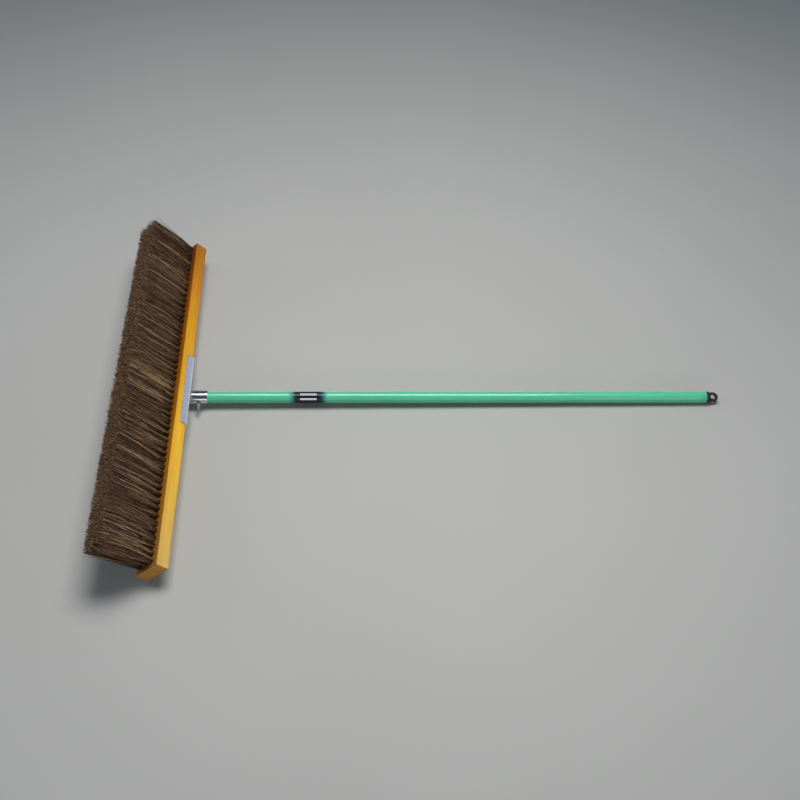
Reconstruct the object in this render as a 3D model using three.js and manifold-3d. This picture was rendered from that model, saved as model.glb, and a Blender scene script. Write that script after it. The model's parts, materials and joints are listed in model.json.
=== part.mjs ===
// A push broom, laid down. A long wooden block holds five rows of stiff plant-fibre tufts. A folded steel
// saddle is screwed over the middle of the block, and a socket welded to it at half a right angle takes a
// painted steel handle, which a wing bolt clamps through a nut on the socket's side.
//
// Millimetres, +Z up. +X runs along the handle from the head to the hanging cap, +Y along the block. The
// broom rests on the block's far top edge and on the end of its handle, and the origin is on the surface
// it lies on, under the middle of its bounding box.

import * as THREE from "three";
import { mergeGeometries, mergeVertices } from "three/addons/utils/BufferGeometryUtils.js";
import Module from "manifold-3d";

const radians = THREE.MathUtils.degToRad;

const GAP = 0.3; // left between pieces that touch

const BLOCK = {
  length: 900,
  width: 70,
  thickness: 30,
  edgeRadius: 3,
  endChamfer: 2,
  stretches: 3, // its long faces are divided, so that the outer ones lie clear of the saddle
};

const TUFTS = {
  rows: 5,
  rowPitch: 9.5, // across the block, at the face
  pitch: 17.1, // along the block; every other row is shifted by half of it
  longRow: 52, // tufts in the first, third and fifth rows; the rows between hold one fewer
  lean: radians(1.1), // of one row against the next, so that the rows fan out
  length: 122, // below the face
  merge: 86, // where neighbouring tufts of a row meet
  holeDepth: 15,
  holeRadius: 4.5,
  rootWidth: 5.4,
  tipThickness: 10.6,
};

const SADDLE = {
  length: 190,
  thickness: 2,
  bendRadius: 3.5, // outside the fold
  reach: 22, // past the block's middle line, away from the fold
  flange: 17, // down the block's side
  cornerRadius: 8,
};

const SCREW = {
  stations: [-72, 72], // along the block
  offsets: [-18, 12], // across it
  headRadius: 4.2,
  headHeight: 2.6,
  shankRadius: 1.9,
  depth: 13,
  pointLength: 4,
  clearance: 0.7,
};

const TUBE = { radius: 12.7, wall: 1, start: 17, length: 1183 };

const SOCKET = { tilt: radians(45), radius: 15.5, bore: 13, end: 62, boltStation: 43.5 };

const NUT = { acrossFlats: 10, height: 5, bore: 3.4 };

const BOLT = {
  shankRadius: 3,
  hubRadius: 4.4,
  hubStart: 24, // from the handle's axis
  hubEnd: 32.5,
  wingRadius: 5.2,
  wingOffset: 7,
  wingCentre: 30.2,
  wingThickness: 2.4,
};

const LABEL = { start: 245, length: 87, thickness: 0.25 };

const CAP = {
  shoulder: 3,
  neck: 5,
  plugRadius: 11.2,
  plugLength: 25,
  tabWidth: 23,
  tabThickness: 7,
  holeRadius: 5.5,
  holeStation: 16.5, // past the tube's end
  roll: radians(25), // of the eyelet about the handle
};

const ROUND = 24; // sides of the large round pieces
const SMALL_ROUND = 12; // and of the small ones

const MATERIALS = {
  wood: new THREE.MeshStandardMaterial({ color: 0xd9a13f, roughness: 0.35, metalness: 0 }),
  fibre: new THREE.MeshStandardMaterial({ color: 0x5a4637, roughness: 0.85, metalness: 0 }),
  zinc: new THREE.MeshStandardMaterial({ color: 0xb9c2d0, roughness: 0.25, metalness: 1 }),
  paint: new THREE.MeshStandardMaterial({ color: 0x50b18a, roughness: 0.3, metalness: 0.1 }),
  label: new THREE.MeshStandardMaterial({ color: 0x1d2740, roughness: 0.4, metalness: 0 }),
  plastic: new THREE.MeshStandardMaterial({ color: 0x1c1c20, roughness: 0.35, metalness: 0 }),
};

// ---------------------------------------------------------------- solids and shapes

const wasm = await Module();
wasm.setup();

// The closed solid inside a geometry, for cutting and joining. Its flat faces merge where they are level
// with each other, unless they are to stay divided as the geometry has them.
function solid(geometry, { divided = false } = {}) {
  const bare = geometry.clone();
  bare.deleteAttribute("normal");
  bare.deleteAttribute("uv");
  const welded = mergeVertices(bare, 1e-4);
  const mesh = {
    numProp: 3,
    vertProperties: welded.attributes.position.array,
    triVerts: new Uint32Array(welded.index.array),
  };
  if (divided) mesh.faceID = Uint32Array.from({ length: mesh.triVerts.length / 3 }, (_, i) => i);
  return new wasm.Manifold(new wasm.Mesh(mesh));
}

// The geometry around a solid.
function surface(body) {
  const mesh = body.getMesh();
  const geometry = new THREE.BufferGeometry();
  geometry.setAttribute("position", new THREE.BufferAttribute(mesh.vertProperties, 3));
  geometry.setIndex(new THREE.BufferAttribute(mesh.triVerts, 1));
  geometry.computeVertexNormals();
  return geometry;
}

function named(name, geometry, material) {
  const mesh = new THREE.Mesh(geometry, material);
  mesh.name = name;
  return mesh;
}

// A round bar along Z, from one height to another.
function bar(radius, from, to, sides) {
  const geometry = new THREE.CylinderGeometry(radius, radius, to - from, sides);
  return geometry.rotateX(Math.PI / 2).translate(0, 0, (from + to) / 2);
}

// A profile of [radius, height] points turned about Z.
function turned(profile, sides) {
  const points = profile.map(([radius, height]) => new THREE.Vector2(radius, height));
  return new THREE.LatheGeometry(points, sides).rotateX(Math.PI / 2);
}

// A straight pipe along Z.
function pipe(bore, radius, from, to, sides) {
  const ring = [[bore, from], [bore, to], [radius, to], [radius, from], [bore, from]];
  return turned(ring.reverse(), sides);
}

// A shape drawn across the block (its x) and up from the block's top face (its y), run along the block.
function alongBlock(shape, length, options = {}) {
  const geometry = new THREE.ExtrudeGeometry(shape, {
    depth: length,
    bevelEnabled: false,
    curveSegments: 4,
    ...options,
  });
  return geometry.translate(0, 0, -length / 2).rotateX(Math.PI / 2);
}

function roundedRectangle(left, right, bottom, top, radius) {
  const shape = new THREE.Shape();
  shape.absarc(right - radius, top - radius, radius, 0, Math.PI / 2);
  shape.absarc(left + radius, top - radius, radius, Math.PI / 2, Math.PI);
  shape.absarc(left + radius, bottom + radius, radius, Math.PI, 1.5 * Math.PI);
  shape.absarc(right - radius, bottom + radius, radius, 1.5 * Math.PI, 2 * Math.PI);
  shape.closePath();
  return shape;
}

// ---------------------------------------------------------------- head
// In the head's frame the block's top face is at z = 0, facing +Z, and the user stands on the -X side.

// The tufts of a row, as their places along the block.
function tuftStations(row) {
  const count = TUFTS.longRow - (row % 2);
  return Array.from({ length: count }, (_, i) => (i - (count - 1) / 2) * TUFTS.pitch);
}

// A row's frame, on the block's lower face and leaning with the row.
function rowFrame(row) {
  const fromMiddle = row - (TUFTS.rows - 1) / 2;
  const frame = new THREE.Group();
  frame.position.set(fromMiddle * TUFTS.rowPitch, 0, -BLOCK.thickness);
  frame.rotation.y = -fromMiddle * TUFTS.lean;
  frame.updateMatrix();
  return frame;
}

function screwPlaces() {
  return SCREW.stations.flatMap((y) => SCREW.offsets.map((x) => ({ x, y })));
}

function blockGeometry() {
  const half = BLOCK.width / 2;
  const section = roundedRectangle(-half, half, -BLOCK.thickness, 0, BLOCK.edgeRadius);
  const length = BLOCK.length - 2 * BLOCK.endChamfer;
  const blank = alongBlock(section, length, {
    steps: BLOCK.stretches,
    bevelEnabled: true,
    bevelThickness: BLOCK.endChamfer,
    bevelSize: BLOCK.endChamfer,
    bevelOffset: -BLOCK.endChamfer,
    bevelSegments: 1,
  });
  const drillings = [];
  for (let row = 0; row < TUFTS.rows; row++) {
    const { matrix } = rowFrame(row);
    for (const y of tuftStations(row)) {
      const drilling = bar(TUFTS.holeRadius, -GAP, TUFTS.holeDepth, 6);
      drillings.push(drilling.translate(0, y, 0).applyMatrix4(matrix));
    }
  }
  for (const { x, y } of screwPlaces()) {
    const radius = SCREW.shankRadius + SCREW.clearance / 2;
    drillings.push(bar(radius, -SCREW.depth - GAP, GAP, SMALL_ROUND).translate(x, y, 0));
  }
  return surface(solid(blank, { divided: true }).subtract(solid(mergeGeometries(drillings))));
}

// One row of tufts: narrow roots in the block's holes, each flaring until it meets its neighbours.
function tuftRowGeometry(row) {
  const stations = tuftStations(row);
  const root = TUFTS.rootWidth / 2;
  const splay = TUFTS.pitch / 2;
  const inHole = -(TUFTS.holeDepth - GAP);
  const comb = new THREE.Shape();
  comb.moveTo(stations[0] - splay, TUFTS.length);
  for (const y of stations) {
    comb.lineTo(y - root, 0);
    comb.lineTo(y - root, inHole);
    comb.lineTo(y + root, inHole);
    comb.lineTo(y + root, 0);
    if (y < stations.at(-1)) comb.lineTo(y + splay, TUFTS.merge);
  }
  comb.lineTo(stations.at(-1) + splay, TUFTS.length);
  comb.closePath();
  const geometry = new THREE.ExtrudeGeometry(comb, { depth: 1, bevelEnabled: false });
  geometry.translate(0, 0, -0.5);
  const points = geometry.attributes.position;
  for (let i = 0; i < points.count; i++) {
    const along = points.getY(i) / TUFTS.length;
    const thickness = THREE.MathUtils.lerp(TUFTS.rootWidth, TUFTS.tipThickness, along);
    points.setZ(i, points.getZ(i) * thickness);
  }
  const alongRow = new THREE.Vector3(0, 1, 0);
  const down = new THREE.Vector3(0, 0, -1);
  const across = new THREE.Vector3(-1, 0, 0);
  return geometry.applyMatrix4(new THREE.Matrix4().makeBasis(alongRow, down, across));
}

// The saddle lies on the top face and folds down over the side that faces the user.
function saddleGeometry() {
  const top = GAP + SADDLE.thickness;
  const inner = -BLOCK.width / 2 - GAP;
  const outer = inner - SADDLE.thickness;
  const innerRadius = SADDLE.bendRadius - SADDLE.thickness;
  const section = new THREE.Shape();
  section.moveTo(SADDLE.reach, GAP);
  section.lineTo(SADDLE.reach, top);
  section.absarc(outer + SADDLE.bendRadius, top - SADDLE.bendRadius, SADDLE.bendRadius, Math.PI / 2, Math.PI);
  section.lineTo(outer, -SADDLE.flange);
  section.lineTo(inner, -SADDLE.flange);
  section.absarc(inner + innerRadius, GAP - innerRadius, innerRadius, Math.PI, Math.PI / 2, true);
  section.closePath();
  let saddle = solid(alongBlock(section, SADDLE.length));

  // In plan the far corners are rounded.
  const beyond = outer - 2 * SADDLE.cornerRadius;
  const halfLength = SADDLE.length / 2;
  const plan = roundedRectangle(beyond, SADDLE.reach, -halfLength, halfLength, SADDLE.cornerRadius);
  const height = SADDLE.flange + 2 * top;
  const planSolid = new THREE.ExtrudeGeometry(plan, { depth: height, bevelEnabled: false, curveSegments: 4 });
  saddle = saddle.intersect(solid(planSolid.translate(0, 0, -SADDLE.flange - GAP)));

  for (const { x, y } of screwPlaces()) {
    const hole = bar(SCREW.shankRadius + SCREW.clearance, 0, 2 * top, SMALL_ROUND);
    saddle = saddle.subtract(solid(hole.translate(x, y, 0)));
  }
  return surface(saddle);
}

function screwGeometry() {
  const seat = 2 * GAP + SADDLE.thickness;
  return turned(
    [
      [0, -SCREW.depth],
      [SCREW.shankRadius, -SCREW.depth + SCREW.pointLength],
      [SCREW.shankRadius, seat],
      [SCREW.headRadius, seat],
      [SCREW.headRadius * 0.85, seat + SCREW.headHeight * 0.6],
      [SCREW.headRadius * 0.45, seat + SCREW.headHeight],
      [0, seat + SCREW.headHeight],
    ],
    SMALL_ROUND,
  );
}

// ---------------------------------------------------------------- socket, bolt and handle
// In these pieces' frame the handle's axis is +Z, starting at the middle of the block's top face, +X points
// down when the broom lies, and +Y is along the block.

function socketGeometry() {
  const tube = pipe(SOCKET.bore, SOCKET.radius, -SOCKET.radius, SOCKET.end, ROUND);
  const size = 4 * SOCKET.end;
  const underside = new THREE.BoxGeometry(size, size, size);
  underside.translate(0, 0, 2 * GAP + SADDLE.thickness - size / 2).rotateY(SOCKET.tilt);
  const boltHole = new THREE.CylinderGeometry(NUT.bore, NUT.bore, SOCKET.radius, SMALL_ROUND);
  boltHole.translate(0, -SOCKET.radius, SOCKET.boltStation);
  return surface(solid(tube).subtract(solid(underside)).subtract(solid(boltHole)));
}

function nutGeometry() {
  const corner = NUT.acrossFlats / 2 / Math.cos(Math.PI / 6);
  const corners = Array.from({ length: 6 }, (_, i) => {
    const angle = (i * Math.PI) / 3;
    return new THREE.Vector2(corner * Math.cos(angle), corner * Math.sin(angle));
  });
  const hexagon = new THREE.Shape(corners);
  hexagon.holes.push(new THREE.Path().absarc(0, 0, NUT.bore, 0, 2 * Math.PI));
  const nut = new THREE.ExtrudeGeometry(hexagon, { depth: NUT.height, bevelEnabled: false, curveSegments: 6 });
  return nut.rotateX(Math.PI / 2).translate(0, -SOCKET.radius - GAP, SOCKET.boltStation);
}

// The bolt's axis runs out along -Y, and its wings lie in the plane across the handle.
function wingBoltGeometry() {
  const tip = TUBE.radius + GAP;
  const body = turned(
    [
      [0, tip],
      [BOLT.shankRadius * 0.7, tip],
      [BOLT.shankRadius, tip + 1],
      [BOLT.shankRadius, BOLT.hubStart],
      [BOLT.hubRadius, BOLT.hubStart + 1],
      [BOLT.hubRadius, BOLT.hubEnd - 1],
      [BOLT.hubRadius * 0.7, BOLT.hubEnd],
      [0, BOLT.hubEnd],
    ],
    SMALL_ROUND,
  );
  let bolt = solid(body.rotateX(Math.PI / 2));
  for (const side of [-1, 1]) {
    const wing = bar(BOLT.wingRadius, -BOLT.wingThickness / 2, BOLT.wingThickness / 2, SMALL_ROUND);
    wing.translate(side * BOLT.wingOffset, -BOLT.wingCentre, 0);
    bolt = bolt.add(solid(wing));
  }
  return surface(bolt).translate(0, 0, SOCKET.boltStation);
}

function labelGeometry() {
  const bore = TUBE.radius + GAP;
  return pipe(bore, bore + LABEL.thickness, LABEL.start, LABEL.start + LABEL.length, ROUND);
}

// The cap's plug fills the tube's end, and its neck narrows to a flat eyelet with a hole to hang it by.
function capGeometry() {
  const shoulderEnd = GAP + CAP.shoulder;
  const half = CAP.tabThickness / 2;
  const stem = turned(
    [
      [0, -CAP.plugLength],
      [CAP.plugRadius, -CAP.plugLength],
      [CAP.plugRadius, GAP],
      [TUBE.radius, GAP],
      [TUBE.radius, shoulderEnd],
      [half * 1.4, shoulderEnd + CAP.neck],
      [0, shoulderEnd + CAP.neck],
    ],
    ROUND,
  );
  const halfWidth = CAP.tabWidth / 2;
  const outline = new THREE.Shape();
  outline.moveTo(-halfWidth, GAP);
  outline.lineTo(halfWidth, GAP);
  outline.absarc(0, CAP.holeStation, halfWidth, 0, Math.PI);
  outline.closePath();
  outline.holes.push(new THREE.Path().absarc(0, CAP.holeStation, CAP.holeRadius, 0, 2 * Math.PI));
  const tab = new THREE.ExtrudeGeometry(outline, {
    depth: CAP.tabThickness,
    bevelEnabled: false,
    curveSegments: SMALL_ROUND,
  });
  // The tab's outline stands along the handle, and its thickness runs down.
  tab.translate(0, 0, -half).rotateX(Math.PI / 2).rotateZ(Math.PI / 2);
  const cap = surface(solid(stem).add(solid(tab)));
  return cap.rotateZ(CAP.roll).translate(0, 0, TUBE.start + TUBE.length);
}

// ---------------------------------------------------------------- the broom

// How far the handle falls from the head to its tip when the broom lies on the block's rounded far edge
// and on the cap's shoulder.
function restingLean() {
  const reach = TUBE.start + TUBE.length + GAP + CAP.shoulder;
  let lean = 0;
  for (let step = 0; step < 8; step++) {
    const tilt = SOCKET.tilt + lean;
    const inset = BLOCK.width / 2 - BLOCK.edgeRadius;
    const axisHeight = inset * Math.cos(tilt) + BLOCK.edgeRadius * (1 - Math.sin(tilt));
    lean = Math.asin((axisHeight - TUBE.radius * Math.cos(lean)) / reach);
  }
  return lean;
}

const head = new THREE.Group();
head.rotation.y = Math.PI / 2 + SOCKET.tilt;
head.add(named("wooden_block", blockGeometry(), MATERIALS.wood));
for (let row = 0; row < TUFTS.rows; row++) {
  const frame = rowFrame(row);
  frame.add(named(`tuft_row_${row + 1}`, tuftRowGeometry(row), MATERIALS.fibre));
  head.add(frame);
}
head.add(named("bracket_saddle", saddleGeometry(), MATERIALS.zinc));
screwPlaces().forEach(({ x, y }, i) => {
  const screw = named(`bracket_screw_${i + 1}`, screwGeometry(), MATERIALS.zinc);
  screw.position.set(x, y, 0);
  head.add(screw);
});

const onAxis = new THREE.Group();
onAxis.rotation.y = Math.PI / 2;
const tubeEnd = TUBE.start + TUBE.length;
const tube = pipe(TUBE.radius - TUBE.wall, TUBE.radius, TUBE.start, tubeEnd, ROUND);
onAxis.add(
  named("handle_socket", socketGeometry(), MATERIALS.zinc),
  named("socket_nut", nutGeometry(), MATERIALS.zinc),
  named("wing_bolt", wingBoltGeometry(), MATERIALS.zinc),
  named("handle_tube", tube, MATERIALS.paint),
  named("handle_label", labelGeometry(), MATERIALS.label),
  named("hanging_cap", capGeometry(), MATERIALS.plastic),
);

const broom = new THREE.Group();
broom.name = "push_broom";
broom.add(head, onAxis);
broom.rotation.y = restingLean();

const box = new THREE.Box3().setFromObject(broom, true);
const middle = box.getCenter(new THREE.Vector3());
broom.position.set(-middle.x, -middle.y, -box.min.z);

export default broom;
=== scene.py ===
"""A push broom lying on a pale floor: a varnished block with five rows of stiff plant-fibre tufts, a zinc
saddle with a bright socket and a wing bolt, and a green painted steel handle with a black hanging cap.

Metres. The head's own frame has its origin in the middle of the block's top face, +Z out of that face, +Y
along the block and -X towards the user. The handle's own frame has the same origin, +Z along the handle,
+X down and +Y along the block. Every piece is modelled in one of the two, and its points are then moved to
the shared frame, so the objects' own matrices stay plain.
"""

import json
import math

import bmesh
import bpy
import numpy as np
from mathutils import Matrix, Vector


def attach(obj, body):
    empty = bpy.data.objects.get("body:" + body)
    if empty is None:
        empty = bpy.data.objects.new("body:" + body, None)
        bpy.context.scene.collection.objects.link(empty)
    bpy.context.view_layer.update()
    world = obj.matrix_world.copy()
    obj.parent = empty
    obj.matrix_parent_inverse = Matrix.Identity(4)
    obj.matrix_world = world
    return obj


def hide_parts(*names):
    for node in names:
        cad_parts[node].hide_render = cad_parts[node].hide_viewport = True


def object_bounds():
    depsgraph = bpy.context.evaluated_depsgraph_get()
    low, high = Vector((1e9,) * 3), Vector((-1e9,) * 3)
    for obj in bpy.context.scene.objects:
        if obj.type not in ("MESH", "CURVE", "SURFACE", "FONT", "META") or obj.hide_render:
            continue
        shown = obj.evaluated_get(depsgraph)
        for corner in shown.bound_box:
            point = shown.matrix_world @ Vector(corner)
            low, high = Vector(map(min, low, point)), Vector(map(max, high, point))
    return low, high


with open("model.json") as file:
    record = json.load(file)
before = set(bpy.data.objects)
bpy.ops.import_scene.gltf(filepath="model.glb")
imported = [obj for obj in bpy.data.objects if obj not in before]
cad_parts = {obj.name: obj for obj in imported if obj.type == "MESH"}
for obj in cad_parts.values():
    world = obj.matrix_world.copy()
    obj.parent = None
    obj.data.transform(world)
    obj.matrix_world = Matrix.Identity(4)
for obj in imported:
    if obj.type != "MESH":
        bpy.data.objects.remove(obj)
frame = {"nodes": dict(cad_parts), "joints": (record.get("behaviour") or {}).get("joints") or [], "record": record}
cad_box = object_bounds()

MM = 0.001
GAP = 0.3 * MM  # that the CAD pieces keep where the real ones touch

# -------- camera and light


class Camera:
    place = (-0.14824, -1.47438, 1.913017)
    azimuth = -3.635  # this angle and the next two are in degrees
    elevation = 52.192
    roll = 2.545
    lens = 47.57  # millimetres, on this sensor
    sensor = 36.0
    sees_to = 100.0


# Each light's place, the point it faces, its two sides, its spread in degrees, its watts and its colour.
LIGHTS = {
    "key_light": ((0.03, 0.62, 2.7), (-0.15, -0.62, 0.0), (1.7, 1.15), 124, 39.0, (1.0, 0.98, 0.94)),
    "front_card": ((0.8, -4.4, 1.1), (0.8, 0.0, 1.1), (5.4, 1.8), 180, 44.0, (1.0, 0.99, 0.97)),
    "window": ((2.3, -4.3, 1.65), (0.5, 0.0, 0.0), (2.0, 1.0), 180, 14.0, (1.0, 1.0, 1.0)),
    "side_card": ((3.6, 2.8, 1.0), (-0.5, 0.0, 0.0), (3.3, 2.0), 180, 20.0, (0.62, 0.80, 1.0)),
    "left_card": ((-4.0, 0.8, 1.5), (-0.3, 0.0, 0.0), (2.0, 1.5), 180, 22.0, (0.9, 0.95, 1.0)),
}
SKY = ((0.62, 0.82, 1.0, 1.0), 0.125)  # colour and strength
FLOOR_SIZE = 40.0

# -------- sizes that the frame doesn't give


class Wood:
    front_edge = 1.4 * MM  # along the two long edges that face the user
    back_edge = 7 * MM  # along the two that face away
    end_edge = 2.5 * MM
    steps = 6  # of each rounded edge


class Tufts:
    rows = 5
    row_pitch = 9.5 * MM
    pitch = 17.1 * MM
    long_row = 52
    lean = math.radians(1.1)
    hole_radius = 4.5 * MM
    hole_depth = 15 * MM
    hole_sides = 20
    start_depth = 7 * MM
    root_radius = 4.0 * MM
    root_scatter = 0.15 * MM
    strands = 88
    locks = 9  # bunches that a tuft's strands draw together into
    lock_wander = (1.3 * MM, 2.4 * MM)  # at the tips: across the head, and along it
    lock_bow = 1.5 * MM
    strand_wander = (1.9 * MM, 4.2 * MM)
    strand_bow = 1.7 * MM
    strand_wave = 0.9 * MM
    strand_radius = 0.46 * MM
    thinnest = 0.65  # this and the next are shares of that radius
    thickest = 1.2
    taper = 0.25  # the share of its radius that a strand loses towards its tip
    coarse = 0.1  # the share of strands that are thicker and paler
    coarse_size = 1.6  # how many times thicker they are
    wild = 0.05  # the share of strands that stand out from the rest
    wild_reach = 2.6  # how many times further they stray
    stray_reach = 5 * MM  # the furthest a strand strays across the head
    proud = 1.5 * MM  # how far the loose ends stand out of the trimmed brush, halfway along it
    uneven = 5 * MM  # how much further they do so at one end of the brush than at the other
    length_scatter = 1.5 * MM
    short = (0.07, 2, 22)  # the share of strands that broke short, and by how many millimetres
    long = (0.05, 1, 4)  # the share that the trimming missed, and by how many millimetres
    fill_across = 0.85  # how much of its share of the brush's face a tuft covers
    fill_along = 1.15
    opening = 0.8  # below 1, the tufts open out early and then run straighter
    sides = 3
    segments = 5
    end_flare = 4.2 * MM  # how much further the last tufts of a row lean outwards at their tips
    flare_fade = 2.2  # how many tufts in from the end that fades over


TUBE_WALL = 1.0 * MM
ROUND = 96  # sides of the large round pieces
SQUARE = ((-1, -1), (1, -1), (1, 1), (-1, 1))


def matrix_from(right, across, up, origin):
    """The matrix whose axes and origin are these."""
    matrix = Matrix.Identity(4)
    for column, vector in enumerate((right, across, up, origin)):
        for row in range(3):
            matrix[row][column] = vector[row]
    return matrix


mounts = {mount["name"]: mount for mount in frame["record"]["mounts"]}
joints = {joint["name"]: joint for joint in frame["joints"]}
left, right = (Vector(mounts[f"block_top_{side}"]["pos_m"]) for side in ("left", "right"))
ORIGIN = (left + right) / 2
ALONG_BLOCK = Vector((0, 1, 0))
TOP = Vector(mounts["block_top_left"]["axis"])
HEAD = matrix_from(ALONG_BLOCK.cross(TOP), ALONG_BLOCK, TOP, ORIGIN)
HANDLE_WAY = Vector(joints["handle_slide"]["axis"])
AXIS = matrix_from(ALONG_BLOCK.cross(HANDLE_WAY), ALONG_BLOCK, HANDLE_WAY, ORIGIN)


def extent(node, place):
    """A CAD node's lowest and highest corner in a frame of this script's own."""
    inverse = place.inverted()
    corners = np.array([inverse @ vertex.co for vertex in frame["nodes"][node].data.vertices])
    return Vector(corners.min(0)), Vector(corners.max(0))


# -------- meshes


def from_arrays(name, vertices, faces):
    """A smooth mesh from lists of points and faces, its normals made to face out."""
    mesh = bpy.data.meshes.new(name)
    mesh.from_pydata([tuple(v) for v in vertices], [], [tuple(f) for f in faces])
    tidy = bmesh.new()
    tidy.from_mesh(mesh)
    bmesh.ops.recalc_face_normals(tidy, faces=tidy.faces)
    tidy.to_mesh(mesh)
    tidy.free()
    mesh.shade_smooth()
    return mesh


def add(name, mesh, place, material=None):
    """Moves a mesh from its own frame to the shared one and puts it in the scene."""
    mesh.transform(place)
    piece = bpy.data.objects.new(name, mesh)
    bpy.context.scene.collection.objects.link(piece)
    if material:
        mesh.materials.clear()
        mesh.materials.append(material)
    return piece


def mount_piece(piece, body, slot, *nodes):
    """The piece rides on its body and stands for these CAD nodes, which are hidden. The slot is not used."""
    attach(piece, body)
    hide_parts(*nodes)


def loft(rings, ring_closed=True, joined=False, caps=True):
    """Points and faces of the skin over rings of equally many points. The last ring is joined to the first, or
    the two end rings have caps, or neither."""
    count = len(rings[0])
    points = [Vector(point) for ring in rings for point in ring]
    spans = len(rings) if joined else len(rings) - 1
    steps = count if ring_closed else count - 1
    faces = []
    for span in range(spans):
        here = span * count
        there = (span + 1) % len(rings) * count
        for step in range(steps):
            onward = (step + 1) % count
            faces.append((here + step, here + onward, there + onward, there + step))
    if caps and not joined:
        faces.append(tuple(range(count)))
        faces.append(tuple(range((len(rings) - 1) * count, len(rings) * count)))
    return points, faces


def around(sides, point):
    """A ring of what point gives for each of this many equal turns."""
    return [point(2 * math.pi * i / sides) for i in range(sides)]


def circle(radius, height, sides=ROUND):
    """A ring of points about Z."""
    return around(sides, lambda a: Vector((radius * math.cos(a), radius * math.sin(a), height)))


def revolved(profile, sides):
    """The skin of (radius, height) points turned about Z, with its ends capped."""
    return loft([circle(radius, height, sides) for radius, height in profile])


def arc(centre, radius, start, end, steps):
    """Points in a plane on a round corner, by degrees."""
    angles = (math.radians(start + (end - start) * i / steps) for i in range(steps + 1))
    return [(centre[0] + radius * math.cos(a), centre[1] + radius * math.sin(a)) for a in angles]


def merged(*parts):
    """Several (points, faces) in one."""
    points, faces = [], []
    for part_points, part_faces in parts:
        offset = len(points)
        points += [Vector(p) for p in part_points]
        faces += [tuple(i + offset for i in face) for face in part_faces]
    return points, faces


def moved(part, matrix):
    """(points, faces) with the points moved by a matrix."""
    points, faces = part
    return [matrix @ Vector(point) for point in points], faces


def sharpen(piece, degrees):
    """Shades a piece smooth, but for the edges that turn by more than this angle."""
    piece.data.shade_smooth()
    piece.data.set_sharp_from_angle(angle=math.radians(degrees))


def apply_modifiers(piece):
    """Makes a piece's modifiers part of its mesh."""
    bpy.context.view_layer.update()
    graph = bpy.context.evaluated_depsgraph_get()
    old = piece.data
    piece.data = bpy.data.meshes.new_from_object(piece.evaluated_get(graph))
    piece.modifiers.clear()
    bpy.data.meshes.remove(old)


def cut(piece, part, place):
    """Cuts (points, faces), given in the frame of this matrix, out of a piece."""
    tool = add("cutter", from_arrays("cutter", *part), place)
    modifier = piece.modifiers.new("cut", "BOOLEAN")
    modifier.operation = "DIFFERENCE"
    modifier.solver = "EXACT"
    modifier.object = tool
    apply_modifiers(piece)
    bpy.data.objects.remove(tool)


def join(piece, part, place):
    """Adds (points, faces), given in the frame of this matrix, to a piece as they are."""
    extra = from_arrays("extra", *part)
    extra.transform(place)
    both = bmesh.new()
    both.from_mesh(piece.data)
    both.from_mesh(extra)
    both.to_mesh(piece.data)
    both.free()
    bpy.data.meshes.remove(extra)


def soften(piece, voxel, rounds):
    """Melts a piece's parts into one skin with soft corners, as moulding or casting leaves them."""
    remesh = piece.modifiers.new("remesh", "REMESH")
    remesh.mode = "VOXEL"
    remesh.voxel_size = voxel
    remesh.use_smooth_shade = True
    smooth = piece.modifiers.new("smooth", "CORRECTIVE_SMOOTH")
    smooth.use_only_smooth = True
    smooth.iterations = rounds
    material = piece.data.materials[0]
    apply_modifiers(piece)
    piece.data.materials.clear()
    piece.data.materials.append(material)


# -------- materials


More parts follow.
